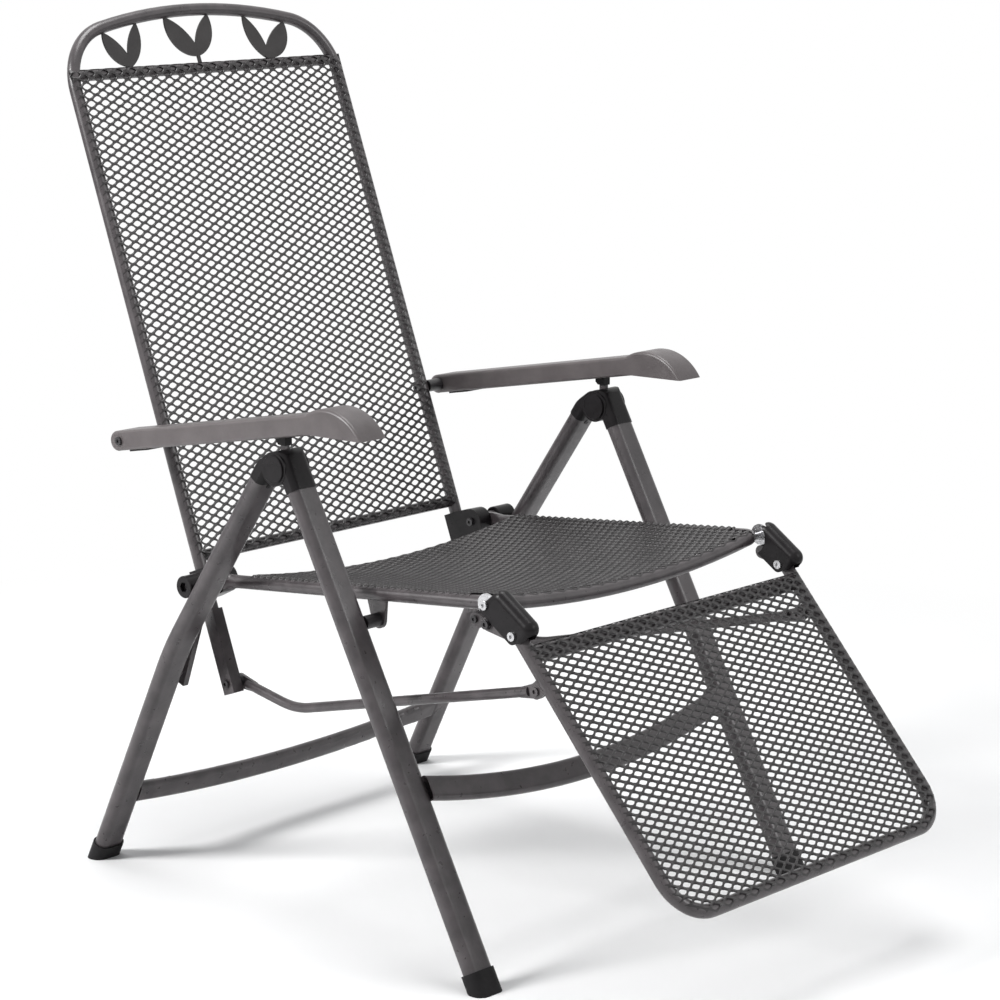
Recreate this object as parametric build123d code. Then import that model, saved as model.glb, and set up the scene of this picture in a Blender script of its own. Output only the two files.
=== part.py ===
"""Folding, reclining garden armchair with a leg rest.

Coated steel tube carries panels of expanded metal. Millimetres, +Z up. The sitter faces -Y, so +X is
the sitter's left. Places in the side view are (y, z) points, first worked out from a point on the floor
below the elbow pivot. The finished chair is then moved so that its origin is below its middle.
"""
from build123d import *
import math
import os

# Half width of the seat tube, which the other widths follow
seat_half = 232.0

# Elbow pivot, where front and rear legs fold together
elbow_high = 550.0
elbow_radius = 20.0
elbow_pin_radius = 5.0
cheek_thick = 10.0
side_gap = 0.5
run_gap = 0.05
disc_radius = 16.6
disc_thick = 2.0
disc_chamfer = 0.7
knuckle_reach = 34.0
knuckle_wrap = 1.2
knuckle_heel = 25.0
tongue_radius = 18.5
screw_below = 5.0
screw_radius = 3.0
screw_proud = 1.0

# Legs of flat-sided oval tube
leg_apart = 45.0
leg_middle = seat_half + leg_apart
leg_wide = 38.0
leg_deep = 20.0
leg_wall = 1.5
front_lean = 29.0
front_leg_ahead = 12.0
rear_lean = 34.6
rear_leg_behind = 18.9
rear_bend_down = 318.0
rear_bend_angle = 8.2
rear_bend_radius = 420.0
foot_wall = 2.4
foot_sole = 6.0
foot_long = 24.0

# Crossbars between the legs
bar_tall = 29.0
bar_thick = 14.0
bar_wall = 1.5
bar_grip = 4.0
front_bar_down = 398.0
front_bar_ahead = 22.0
front_bar_sag = 35.0
rear_bar_down = 228.0
rear_bar_ahead = 3.0
rear_bar_sag = 20.0

# Round tube of the seat, back and leg rest
tube_radius = 8.0
tube_wall = 1.5
rail_radius = 7.2
mesh_thick = 2.0
mesh_lift = 5.0
mesh_open_share = 0.74

# Bolts
bolt_radius = 3.2
head_radius = 5.2
head_thick = 3.2
low_head_thick = 2.4
hex_radius = 2.5
hex_deep = 1.8

# Seat
seat_rise = 6.5
hinge_back = 173.0
hinge_high = 379.0
seat_reach = 462.0
seat_corner_radius = 17.0
seat_dip_apex = 32.0
seat_dip_share = 0.86
seat_rear_bar_ahead = 24.0
seat_dish = 21.0
seat_mesh_columns = 8
seat_mesh_rows = 10
tail_thick = 6.0
tail_tall = 19.0
tail_flat_long = 19.0
tail_long = 40.0
corner_clear = 32.0

# Seat pivot on the front legs
pivot_down = 200.0
bracket_thick = 4.0
bracket_wide = 21.0
bracket_top_wide = 30.0
spacer_radius = 8.0
pin_grip = 3.0

# Strut from the rear hinge to the rear leg
strut_foot_down = 44.0
strut_wide = 18.0
strut_deep = 8.0
strut_wall = 2.0
strut_tail = 15.0
stud_proud = 3.0

# Backrest
back_inset = 9.0
back_half = seat_half - back_inset
back_tilt = 21.3
back_behind = 33.3
block_drop = 29.6
top_rail_high = 618.7
crown_rise = 78.3
crown_high = top_rail_high + crown_rise
crown_radius = 720.0
back_corner_radius = 81.0
bottom_rail_high = 5.0
back_tube_low = -62.0
back_mesh_columns = 8
back_mesh_rows = 20
extension_low = -167.0
extension_wide = 16.0
extension_deep = 19.0
extension_wall = 2.0
block_radius = 17.0
block_thick = 21.0
block_wrap = 4.0
block_half_tall = 19.0
bush_radius = 13.5
bush_proud = 8.0
bush_end = leg_middle + bush_proud
bush_hex_radius = 6.5
bush_hex_deep = 5.0

# Leaf ornaments under the arch, each placed by its stem and by how far its two tips lean out
leaf_thick = 3.0
leaf_stem_half = 2.2
leaf_fork_high = 15.0
leaf_tip_share = 0.82
leaf_outer_belly_share = 0.97
leaf_outer_high_share = 0.47
leaf_inner_belly_share = 0.36
leaf_inner_high_share = 0.68
leaf_middle_lift = 9.0
leaf_middle_place = -12.0
leaf_middle_right_tip = 41.0
leaf_middle_left_tip = 32.0
leaf_right_place = -127.0
leaf_right_right_tip = 32.0
leaf_right_left_tip = 25.0
leaf_left_place = 107.5
leaf_left_right_tip = 27.0
leaf_left_left_tip = 41.0

# Armrests
arm_bolt_high = 162.0
arm_rise = 10.9
arm_wide = 42.0
arm_tuck = 1.0
arm_middle = leg_middle - arm_tuck
arm_outer = arm_middle + arm_wide / 2.0
arm_inner = arm_middle - arm_wide / 2.0
arm_half_thick = 12.3
arm_wall = 2.5
arm_edge_radius = 4.0
arm_overhang = 18.0
arm_straight = 335.0
arm_reach = 421.0
arm_nose_drop = 24.3
arm_shoulder_reach = 396.0
arm_shoulder_high = 5.7
arm_under_straight = 345.0
rack_long = 328.0
rack_across = 22.0
rack_deep = 9.0
rack_notch_radius = 4.0
rack_notches = 6
rack_pitch = 14.0
rack_first = 246.0
rack_start = 14.0
rack_lip_long = 34.0
rack_lip_deep = 1.6
rack_lip_across = arm_wide - 2.0 * arm_wall - 2.0 * side_gap
stem_wide = 11.0
stem_thick = 4.0
latch_long = 15.0
latch_tall = 7.0
latch_across = 11.0
latch_gap = 1.0

# Leg rest
knuckle_over = 14.0
knuckle_outer = seat_half + knuckle_over
knuckle_across = 22.0
knuckle_wall = 3.0
knuckle_lean = 33.2
knuckle_long = 69.0
knuckle_back = 9.0
knuckle_ridge = 27.0
knuckle_under = 10.0
knuckle_round = 12.0
knuckle_edge_radius = 10.2
knuckle_roof = 5.5
knuckle_crest_start = 1.8
knuckle_toe = 14.4
knuckle_toe_radius = 8.0
knuckle_mouth_high = 9.0
knuckle_clear = 21.0
knuckle_bolt_apart = 50.3
rest_over = 4.0
rest_half = seat_half + rest_over
rest_lean = 47.9
rest_offset = 12.7
rest_tube_start = 36.0
rest_top_start = 66.0
rest_long = 409.0
rest_corner_radius = 48.0
rest_bar_tall = 20.0
rest_bar_thick = 12.0
rest_mesh_columns = 8
rest_mesh_rows = 12
lever_thick = 2.4
lever_radius = 8.0
stop_drop = 21.3
stop_radius = 6.2
washer_radius = stop_drop - lever_radius - side_gap

# Link rods from the backrest to the leg rest
link_radius = 6.0
eye_thick = 4.0
eye_radius = 9.0
eye_long = 14.0
waist_long = 26.0
link_pin_low = -154.0
link_spacer_thick = 5.0
link_spacer_radius = 10.0
link_bend_share = 0.2
link_bend_drop = 33.0
link_bend_radius = 130.0
link_pin_down = 110.5
link_pin_behind = 6.0
tab_thick = 3.0
tab_middle = rest_half

cut_over = 40.0


def way(angle):
    """A unit (y, z) step, at an angle in degrees turned up from straight back."""
    return (math.cos(math.radians(angle)), math.sin(math.radians(angle)))


def go(point, *steps):
    """The (y, z) point reached from another by (angle, distance) steps."""
    y, z = point
    for angle, distance in steps:
        y += way(angle)[0] * distance
        z += way(angle)[1] * distance
    return (y, z)


# Directions in the side view
front_down = 270.0 - front_lean
front_forward = front_down - 90.0
rear_down = 270.0 + rear_lean
rear_back = rear_down + 90.0
rear_low_down = rear_down - rear_bend_angle
seat_ahead = 180.0 - seat_rise
seat_up = seat_ahead - 90.0
back_up = 90.0 - back_tilt
back_rear = back_up - 90.0
arm_ahead = 180.0 - arm_rise
arm_up = arm_ahead - 90.0
knuckle_down = 180.0 + knuckle_lean
knuckle_up = knuckle_down - 90.0
rest_down = 180.0 + rest_lean
rest_under = rest_down + 90.0

# Places in the side view
elbow = (0.0, elbow_high)
front_axis = go(elbow, (front_forward, front_leg_ahead))
rear_axis = go(elbow, (rear_back, rear_leg_behind))
rear_bend = go(rear_axis, (rear_down, rear_bend_down))
hinge = (hinge_back, hinge_high)
back_origin = go(hinge, (back_rear, back_behind), (back_up, block_drop))
arm_bolt = go(back_origin, (back_up, arm_bolt_high))
seat_pivot = go(front_axis, (front_down, pivot_down))
strut_foot = go(rear_bend, (rear_low_down, strut_foot_down))
rest_hinge = go(hinge, (seat_ahead, seat_reach))
rest_bolt = go(rest_hinge, (knuckle_down, knuckle_bolt_apart))
rest_stop = go(rest_hinge, (seat_up + 180.0, stop_drop))
rest_origin = go(rest_hinge, (rest_under + 180.0, rest_offset))
link_rear = go(back_origin, (back_up, link_pin_low))
link_front = go(rest_hinge, (rest_down, link_pin_down), (rest_under, link_pin_behind))

# Places across the chair, from its middle out
leg_inner = leg_middle - leg_wide / 2.0
leg_outer = leg_middle + leg_wide / 2.0
block_inner = back_half - block_thick / 2.0
block_outer = back_half + block_thick / 2.0
tail_inner = block_outer + side_gap
tail_outer = tail_inner + tail_thick
strut_outer = leg_inner - stud_proud - side_gap
strut_inner = strut_outer - strut_deep
extension_inner = back_half - extension_wide / 2.0
rear_eye_outer = extension_inner - link_spacer_thick - side_gap
rear_eye_inner = rear_eye_outer - eye_thick
tab_inner = tab_middle - tab_thick / 2.0
tab_outer = tab_middle + tab_thick / 2.0
front_eye_outer = tab_inner - side_gap
front_eye_inner = front_eye_outer - eye_thick
knuckle_inner = knuckle_outer - knuckle_across

# Planes of the panels: local z leaves the side that faces the sitter, and local y runs up the back,
# forward along the seat and up the leg rest
back_plane = Plane(origin=(0, *back_origin), x_dir=(1, 0, 0), z_dir=(0, *way(back_rear + 180.0)))
seat_plane = Plane(origin=(0, *hinge), x_dir=(-1, 0, 0), z_dir=(0, *way(seat_up)))
rest_plane = Plane(origin=(0, *rest_origin), x_dir=(1, 0, 0), z_dir=(0, *way(rest_under + 180.0)))


def side(x):
    """The plane of the side view at a distance x, whose local axes are y and z."""
    return Plane(origin=(x, 0, 0), x_dir=(0, 1, 0), z_dir=(1, 0, 0))


def slab(face, x_start, x_end):
    return extrude(side(x_start) * face, amount=x_end - x_start, dir=(1, 0, 0))


def outline(points):
    return make_face(Polyline(*points, close=True))


def disc(centre, radius):
    return Pos(*centre) * Circle(radius)


def pin(centre, radius, x_start, x_end):
    return slab(disc(centre, radius), x_start, x_end)


def link_outline(start, end, start_radius, end_radius):
    """Two round ends joined by their common tangents."""
    return make_hull((disc(start, start_radius) + disc(end, end_radius)).edges())


def box_outline(origin, down, along_start, along_end, across_start, across_end):
    """A rectangle laid off from a point, along an angle and a quarter turn up from it."""
    corners = [(along_start, across_start), (along_end, across_start)]
    corners += [(along_end, across_end), (along_start, across_end)]
    return outline([go(origin, (down, a), (down + 90.0, b)) for a, b in corners])


def both(name, shape):
    """A piece on the sitter's left and its mirror image on the right."""
    return {name + "_left": shape, name + "_right": mirror(shape, about=Plane.YZ)}


def pair(name, shape):
    """Two like pieces, left and right, in one node."""
    return {name: Compound(children=[shape, mirror(shape, about=Plane.YZ)])}


def across(x, point, angle):
    """A plane square to a member that runs at an angle in the side view; its local x is the chair's X."""
    return Plane(origin=(x, *point), x_dir=(1, 0, 0), z_dir=(0, *way(angle)))


def tube_along(path, radius, wall=0.0):
    section = Circle(radius) - Circle(radius - wall) if wall else Circle(radius)
    return sweep(Plane(origin=path @ 0, z_dir=path % 0) * section, path=path)


def bolt_head(centre, x_start, x_end):
    """A round head with a hexagon socket in its far face."""
    out = 1.0 if x_end > x_start else -1.0
    hexagon = Pos(*centre) * RegularPolygon(hex_radius, 6)
    socket = slab(hexagon, x_end - out * hex_deep, x_end + out * cut_over)
    return pin(centre, head_radius, x_start, x_end) - socket


def prism(point, angle):
    """The round-sided bar, a little larger than a leg, that a knuckle's outside follows."""
    start = across(leg_middle, go(point, (angle, -cut_over)), angle)
    return extrude(start * oval(knuckle_wrap), amount=cut_over * 2.0)


def diamond(x, y, half_x, half_y):
    return Polyline((x - half_x, y), (x, y - half_y), (x + half_x, y), (x, y + half_y), close=True).wire()


def net(wide, tall, columns, rows):
    """A flat face centred on the origin, with staggered diamond openings."""
    pitch_x = wide / columns
    pitch_y = tall / rows
    spots = [(i + 0.5, j + 0.5) for i in range(columns) for j in range(rows)]
    spots += [(i, j) for i in range(1, columns) for j in range(1, rows)]
    half_x = pitch_x * mesh_open_share / 2.0
    half_y = pitch_y * mesh_open_share / 2.0
    holes = [diamond(i * pitch_x - wide / 2.0, j * pitch_y - tall / 2.0, half_x, half_y) for i, j in spots]
    return Face(Rectangle(wide, tall).wire(), holes)


def oval(extra=0.0):
    return SlotOverall(leg_wide + 2.0 * extra, leg_deep + 2.0 * extra)


def leg_ring():
    return oval() - oval(-leg_wall)


def floor_reach(point, angle, height=0.0):
    """How far along an angle a line from a point comes down to a height."""
    return (height - point[1]) / way(angle)[1]


def front_leg_end():
    return floor_reach(front_axis, front_down, foot_sole + leg_deep / 2.0 * way(front_lean)[1])


def front_leg(section):
    start = across(leg_middle, go(front_axis, (front_down, knuckle_reach)), front_down)
    return extrude(start * section, amount=front_leg_end() - knuckle_reach)


def rear_leg_path():
    low_lean = rear_lean - rear_bend_angle
    low = floor_reach(rear_bend, rear_low_down, foot_sole + leg_deep / 2.0 * way(low_lean)[1])
    top = go(rear_axis, (rear_down, knuckle_reach))
    foot = go(rear_bend, (rear_low_down, low))
    points = [(leg_middle, *p) for p in (top, rear_bend, foot)]
    return FilletPolyline(*points, radius=rear_bend_radius)


def rear_leg(section):
    start = across(leg_middle, go(rear_axis, (rear_down, knuckle_reach)), rear_down)
    return sweep(start * section, path=rear_leg_path())


def foot(point, angle, leg):
    """A rubber cap over the end of a leg, cut flat where it stands on the floor."""
    on_floor = go(point, (angle, floor_reach(point, angle) - foot_long))
    cap = extrude(across(leg_middle, on_floor, angle) * oval(foot_wall), amount=foot_long + cut_over)
    cap -= Pos(leg_middle, on_floor[0], -cut_over) * Box(cut_over * 3.0, cut_over * 4.0, cut_over * 2.0)
    return cap - leg


def crossbar(point, angle, sag):
    """A flat-sided bar between the legs, bowed along them, with its ends coped to their sides."""
    low = go(point, (angle, sag))
    path = ThreePointArc((-leg_middle, *point), (0, *low), (leg_middle, *point))
    tangent = path % 0
    normal = Vector(0, *way(angle - 90.0))
    start = Plane(origin=path @ 0, z_dir=tangent, x_dir=normal.cross(tangent))
    bore = SlotOverall(bar_tall - 2.0 * bar_wall, bar_thick - 2.0 * bar_wall)
    ring = SlotOverall(bar_tall, bar_thick) - bore
    half = leg_inner + bar_grip
    keep = slab(box_outline(point, angle, -cut_over * 4.0, cut_over * 4.0, -cut_over, cut_over), -half, half)
    return sweep(start * ring, path=path) & keep


def front_bar_place():
    return go(elbow, (front_forward, front_bar_ahead), (front_down, front_bar_down))


def rear_bar_place():
    return go(rear_bend, (rear_low_down, rear_bar_down), (rear_low_down - 90.0, rear_bar_ahead))


def middle_of(bar):
    """The piece of a bar that lies between the legs, where coping has left ends inside them."""
    return sorted(bar.solids(), key=lambda s: abs(s.center().X))[0]


def stem_outline():
    """The side view of the upright strap, from round the elbow pin to the latch."""
    half = stem_wide / 2.0
    rise = latch_top() - latch_tall - elbow_high
    return disc(elbow, half) + box_outline(elbow, 90.0, 0, rise, -half, half)


def latch_top():
    """The height just under the armrest, above the elbow."""
    slope = math.tan(math.radians(arm_rise))
    middle = arm_bolt[1] + (arm_bolt[0] - elbow[0]) * slope
    under = middle - arm_half_thick / math.cos(math.radians(arm_rise))
    return under - latch_gap - latch_long / 2.0 * slope


def front_knuckle():
    """The cap on the front leg, with a tongue that the rear cheeks straddle."""
    back_face = leg_deep / 2.0 - front_leg_ahead + knuckle_wrap
    front_face = -leg_deep / 2.0 - front_leg_ahead - knuckle_wrap
    block = box_outline(elbow, front_down, knuckle_reach / 2.0, knuckle_reach, front_face, back_face)
    shoulder = disc(go(elbow, (front_forward, front_leg_ahead / 2.0)), elbow_radius - knuckle_wrap)
    body = make_hull((block + shoulder).edges()) - disc(elbow, elbow_radius + side_gap)
    cap = slab(body, leg_inner, leg_outer) & prism(front_axis, front_down)
    pad = slab(disc(elbow, tongue_radius) + block, leg_inner + cheek_thick + side_gap,
               leg_outer - cheek_thick - side_gap)
    keep = box_outline(elbow, front_down, -cut_over, knuckle_reach, -cut_over, cut_over)
    cap = (cap + pad) & slab(keep, leg_inner, leg_outer)
    cap = sorted(cap.solids(), key=lambda s: s.volume)[-1]
    return cap - pin(elbow, elbow_pin_radius, leg_inner, leg_outer)


def rear_knuckle():
    """The head on the rear leg: two cheeks beside the tongue and a hood over the leg's end."""
    near_face = rear_leg_behind - leg_deep / 2.0 - knuckle_wrap
    far_face = rear_leg_behind + leg_deep / 2.0 + knuckle_wrap
    block = box_outline(elbow, rear_down, knuckle_heel, knuckle_reach, near_face, far_face)
    head = make_hull((block + disc(elbow, elbow_radius)).edges())
    head -= box_outline(elbow, rear_down, 0, knuckle_reach + cut_over, -cut_over, near_face)
    hood = slab(head - disc(elbow, elbow_radius + side_gap), leg_inner, leg_outer)
    cheeks = []
    for start in (leg_inner, leg_outer - cheek_thick):
        hood += slab(head, start, start + cheek_thick)
        cheeks.append(slab(disc(elbow, elbow_radius), start, start + cheek_thick))
    shape = (hood & prism(rear_axis, rear_down)) + cheeks[0] + cheeks[1]
    shape = sorted(shape.solids(), key=lambda s: s.volume)[-1]
    return shape - pin(elbow, elbow_pin_radius + run_gap, leg_inner, leg_outer)


def elbow_pin():
    """The pin through tongue and cheeks, with a flat black cap on the inside."""
    face = leg_inner - side_gap
    cap = pin(elbow, disc_radius, face - disc_thick, face)
    cap = chamfer(cap.edges().filter_by(GeomType.CIRCLE).sort_by(Axis.X)[0], disc_chamfer)
    return cap + pin(elbow, elbow_pin_radius, face, leg_outer - side_gap)


def knuckle_disc():
    cover = pin(elbow, disc_radius, leg_outer, leg_outer + disc_thick)
    return chamfer(cover.edges().filter_by(GeomType.CIRCLE).sort_by(Axis.X)[-1], disc_chamfer)


def arm_latch():
    """The block on the strap, upright in front and drawn in below its back."""
    high = latch_top()
    low = high - latch_tall
    front = -stem_wide / 2.0
    back = front + latch_long
    front_high = high + latch_long * math.tan(math.radians(arm_rise))
    points = [(front, low), (stem_wide / 2.0, low), (back, (high + low) / 2.0)]
    points += [(back, high), (front, front_high)]
    return slab(outline(points), leg_middle - latch_across / 2.0, leg_middle + latch_across / 2.0)


def front_frame():
    leg = front_leg(leg_ring())
    core = front_leg(oval())
    bar = crossbar(front_bar_place(), front_down, front_bar_sag) - core - mirror(core, about=Plane.YZ)
    bore = pin(seat_pivot, bolt_radius + run_gap, leg_inner - cut_over, leg_middle)
    stem = slab(stem_outline(), leg_middle - stem_thick / 2.0, leg_middle + stem_thick / 2.0)
    stem -= pin(elbow, elbow_pin_radius, leg_inner, leg_outer)
    parts = both("front_leg", leg - bore)
    parts["front_crossbar"] = middle_of(bar)
    parts.update(both("front_knuckle", front_knuckle() - stem))
    parts.update(pair("front_feet", foot(front_axis, front_down, core)))
    parts.update(pair("elbow_pins", elbow_pin()))
    parts.update(pair("arm_stems", stem))
    parts.update(pair("arm_latches", arm_latch()))
    return parts


def knuckle_screw():
    """The small screw on the front of the rear leg, just below its head."""
    ahead = rear_leg_behind - leg_deep / 2.0 - screw_proud
    point = go(elbow, (rear_down, knuckle_reach + screw_below), (rear_back, ahead))
    start = across(leg_middle, point, rear_back)
    head = extrude(start * Circle(screw_radius), amount=screw_proud)
    return head - extrude(start * RegularPolygon(screw_radius / 2.0, 6), amount=screw_proud / 2.0)


def rear_frame():
    core = rear_leg(oval())
    bar = crossbar(rear_bar_place(), rear_low_down, rear_bar_sag) - core - mirror(core, about=Plane.YZ)
    stud = pin(strut_foot, bolt_radius, leg_inner - stud_proud, leg_inner + pin_grip)
    leg = rear_leg(leg_ring()) - stud
    screw = knuckle_screw()
    parts = both("rear_leg", leg)
    parts["rear_crossbar"] = middle_of(bar)
    parts.update(both("rear_knuckle", rear_knuckle()))
    parts.update(pair("rear_feet", foot(rear_bend, rear_low_down, core)))
    parts.update(pair("knuckle_discs", knuckle_disc()))
    parts.update(pair("strut_studs", stud))
    parts.update(pair("knuckle_screws", screw))
    return parts


def dip_radius():
    """The radius of the dip of a seat bar, whose arc takes up most of the bar."""
    lean = math.atan2(seat_dip_apex, seat_half)
    return seat_dip_share * seat_half / math.sin(lean)


def on_seat(points):
    return [seat_plane.from_local_coords(Vector(x, y, z)) for x, y, z in points]


def seat_hoop():
    """The path of the seat tube: along one side, over the dipped front bar and back."""
    half = [(seat_half, tail_long, 0), (seat_half, seat_reach, 0)]
    points = half + [(0, seat_reach, -seat_dip_apex)] + [(-x, y, z) for x, y, z in reversed(half)]
    return FilletPolyline(*on_seat(points), radius=[seat_corner_radius, dip_radius(), seat_corner_radius])


def seat_rear_path():
    far = seat_rear_bar_ahead + tail_long
    points = [(seat_half, far, 0), (0, far, -seat_dip_apex), (-seat_half, far, 0)]
    return FilletPolyline(*on_seat(points), radius=dip_radius())


def seat_tail():
    """The flattened end of the seat tube, round the rear hinge bolt."""
    half = tail_tall / 2.0
    plate = disc(hinge, half) + box_outline(hinge, seat_ahead, 0, tail_flat_long, -half, half)
    middle = (tail_inner + tail_outer) / 2.0
    flat_end = across(middle, go(hinge, (seat_ahead, tail_flat_long)), seat_ahead)
    flat = flat_end * Rectangle(tail_thick, tail_tall)
    whole = across(seat_half, go(hinge, (seat_ahead, tail_long)), seat_ahead) * Circle(tube_radius)
    shape = slab(plate, tail_inner, tail_outer) + loft([flat.face(), whole.face()])
    return shape - pin(hinge, bolt_radius + run_gap, tail_inner - side_gap, tail_outer + side_gap)


def seat_net():
    """The dished seat panel, which meets the tubes all round."""
    wide = 2.0 * (seat_half - math.sqrt(tube_radius ** 2 - mesh_lift ** 2))
    front = seat_reach - tube_radius
    rear = seat_rear_bar_ahead + tail_long + rail_radius
    long = front - rear
    middle = (front + rear) / 2.0
    lift = mesh_lift
    dish = ThreePointArc((-wide / 2.0, lift), (0, lift - seat_dish), (wide / 2.0, lift))
    strip = make_face([dish, Line(dish @ 1, (dish @ 1) + Vector(0, mesh_thick)),
                       ThreePointArc((wide / 2.0, lift + mesh_thick), (0, lift + mesh_thick - seat_dish),
                                     (-wide / 2.0, lift + mesh_thick)),
                       Line((-wide / 2.0, lift + mesh_thick), dish @ 0)])
    end = Plane(origin=seat_plane.from_local_coords(Vector(0, middle - long / 2.0, 0)), x_dir=(1, 0, 0),
                z_dir=seat_plane.y_dir)
    sheet = extrude(end * strip, amount=long)
    holes = net(wide, long, seat_mesh_columns, seat_mesh_rows)
    low = Plane(origin=seat_plane.from_local_coords(Vector(0, middle, -seat_dish)), x_dir=(1, 0, 0),
                z_dir=seat_plane.z_dir)
    sheet = sheet & extrude(low * holes, amount=seat_dish * 2.0)
    corner = pin(rest_hinge, corner_clear, knuckle_inner - 2.0 * side_gap, knuckle_outer + side_gap)
    sheet = sheet - corner - mirror(corner, about=Plane.YZ)
    return sorted(sheet.solids(), key=lambda s: s.volume)[-1]


def seat_bracket(core):
    """The hooked plate welded under the seat tube, down to the seat pivot."""
    weld = go(seat_pivot, (seat_up, -seat_plane.to_local_coords(Vector(0, *seat_pivot)).Z))
    half = bracket_top_wide / 2.0
    top = outline([go(weld, (seat_ahead, half)), go(weld, (seat_ahead, -half)),
                   go(weld, (seat_ahead, -half), (seat_up, -tube_radius)),
                   go(weld, (seat_ahead, half), (seat_up, -tube_radius))])
    plate = make_hull((top + disc(seat_pivot, bracket_wide / 2.0)).edges())
    middle = seat_half
    blade = slab(plate, middle - bracket_thick / 2.0, middle + bracket_thick / 2.0)
    return blade - core - pin(seat_pivot, bolt_radius, middle - cut_over, middle + cut_over)


def seat_pin():
    """The pin from the bracket into the front leg, with its black spacer."""
    inner = seat_half - bracket_thick / 2.0
    shape = pin(seat_pivot, bolt_radius, inner, leg_inner + leg_wall + pin_grip)
    shape += pin(seat_pivot, spacer_radius, inner + bracket_thick, leg_inner - side_gap)
    return shape + bolt_head(seat_pivot, inner, inner - head_thick)


def seat():
    path = seat_hoop()
    hoop = tube_along(path, tube_radius, tube_wall)
    core = tube_along(path, tube_radius)
    rear_path = seat_rear_path()
    rear = tube_along(rear_path, rail_radius, tube_wall) - core
    tail = seat_tail()
    bore = pin(rest_hinge, bolt_radius + run_gap, knuckle_inner - cut_over, knuckle_outer + cut_over)
    bores = bore + mirror(bore, about=Plane.YZ)
    frame = hoop + tail + mirror(tail, about=Plane.YZ) - bores
    parts = {"seat_frame": frame, "seat_rear_bar": middle_of(rear), "seat_mesh": seat_net()}
    parts.update(both("seat_bracket", seat_bracket(core)))
    parts.update(pair("seat_pins", seat_pin()))
    return parts


def strut():
    """A channel from the rear hinge down to the rear leg, square at its foot."""
    half = strut_wide / 2.0
    angle = math.degrees(math.atan2(strut_foot[1] - hinge[1], strut_foot[0] - hinge[0]))
    long = math.hypot(strut_foot[0] - hinge[0], strut_foot[1] - hinge[1]) + strut_tail
    body = disc(hinge, half) + box_outline(hinge, angle, 0, long, -half, half)
    hollow = box_outline(hinge, angle, half, long + cut_over, -half + strut_wall, half - strut_wall)
    hollow = slab(hollow, strut_inner - cut_over, strut_outer - strut_wall)
    shape = slab(body, strut_inner, strut_outer) - hollow
    return shape - pin(hinge, bolt_radius + run_gap, strut_inner - cut_over, strut_outer + cut_over)


def axle_bolt():
    inner = block_inner - side_gap
    shank = pin(hinge, bolt_radius, inner, bush_end - bush_hex_deep)
    return shank + bolt_head(hinge, inner, inner - head_thick)


def axle_bush():
    start = strut_outer + side_gap
    body = pin(hinge, bush_radius, start, bush_end)
    body = chamfer(body.edges().filter_by(GeomType.CIRCLE), side_gap * 2.0)
    socket = Pos(*hinge) * RegularPolygon(bush_hex_radius, 6)
    body -= slab(socket, bush_end - bush_hex_deep, bush_end + cut_over)
    return body - pin(hinge, bolt_radius, start - cut_over, bush_end)


def back_hoop():
    """The path of the arched back tube, up one side, over the crown and down."""
    inner = crown_radius - back_corner_radius
    centre_x = back_half - back_corner_radius
    crown_y = crown_high - crown_radius
    centre_y = crown_y + math.sqrt(inner ** 2 - centre_x ** 2)
    lean = math.degrees(math.atan2(centre_y - crown_y, centre_x))
    low = Vector(back_half, back_tube_low)
    corner = Vector(centre_x + back_corner_radius, centre_y)
    bend = Vector(centre_x, centre_y) + Vector(*way(lean / 2.0)) * back_corner_radius
    crown = Vector(centre_x, centre_y) + Vector(*way(lean)) * back_corner_radius
    flip = lambda p: Vector(-p.X, p.Y)
    edges = [Line(low, corner), ThreePointArc(corner, bend, crown)]
    edges += [ThreePointArc(crown, Vector(0, crown_high), flip(crown))]
    edges += [ThreePointArc(flip(crown), flip(bend), flip(corner)), Line(flip(corner), flip(low))]
    return Wire([edge for part in edges for edge in part.edges()])


def rail(high, wall=0.0):
    return tube_along(back_plane * Line((-back_half, high), (back_half, high)), rail_radius, wall)


def extension():
    outer = Rectangle(extension_wide, extension_deep)
    ring = outer - Rectangle(extension_wide - 2.0 * extension_wall, extension_deep - 2.0 * extension_wall)
    start = across(back_half, go(back_origin, (back_up, extension_low)), back_up)
    shape = extrude(start * ring, amount=back_tube_low - extension_low)
    top = across(back_half, go(back_origin, (back_up, back_tube_low - extension_wall)), back_up)
    shape += extrude(top * outer, amount=extension_wall)
    return shape - pin(link_rear, bolt_radius + run_gap, back_half - cut_over, back_half + cut_over)


def hinge_block(core):
    """A plastic block clamped on the back tube, with the rear hinge in its nose."""
    foot_point = go(back_origin, (back_up, -block_drop))
    wrap = tube_radius + block_wrap
    clamp = box_outline(foot_point, back_up, -block_half_tall, block_half_tall, -wrap, wrap)
    nose = disc(hinge, block_radius)
    shape = slab(make_hull((clamp + nose).edges()), block_inner, block_outer) - core
    shape = sorted(shape.solids(), key=lambda s: s.volume)[-1]
    return shape - pin(hinge, bolt_radius + run_gap, block_inner - cut_over, block_outer + cut_over)


def arch_high(x):
    """The height of the arched tube's axis at a distance from the middle."""
    return crown_high - crown_radius + math.sqrt(crown_radius ** 2 - x ** 2)


def leaf_blade(wide, reach):
    """One curved, pointed leaf, from the stem out to a tip under the arch."""
    stem = math.copysign(leaf_stem_half, wide)
    tip = (wide, reach)
    outer_belly = (wide * leaf_outer_belly_share, reach * leaf_outer_high_share)
    inner_belly = (wide * leaf_inner_belly_share, reach * leaf_inner_high_share)
    outer = ThreePointArc((stem, 0), outer_belly, tip)
    inner = ThreePointArc(tip, inner_belly, (0, leaf_fork_high))
    return make_face([outer, inner, Line((0, leaf_fork_high), (0, 0)), Line((0, 0), (stem, 0))])


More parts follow.
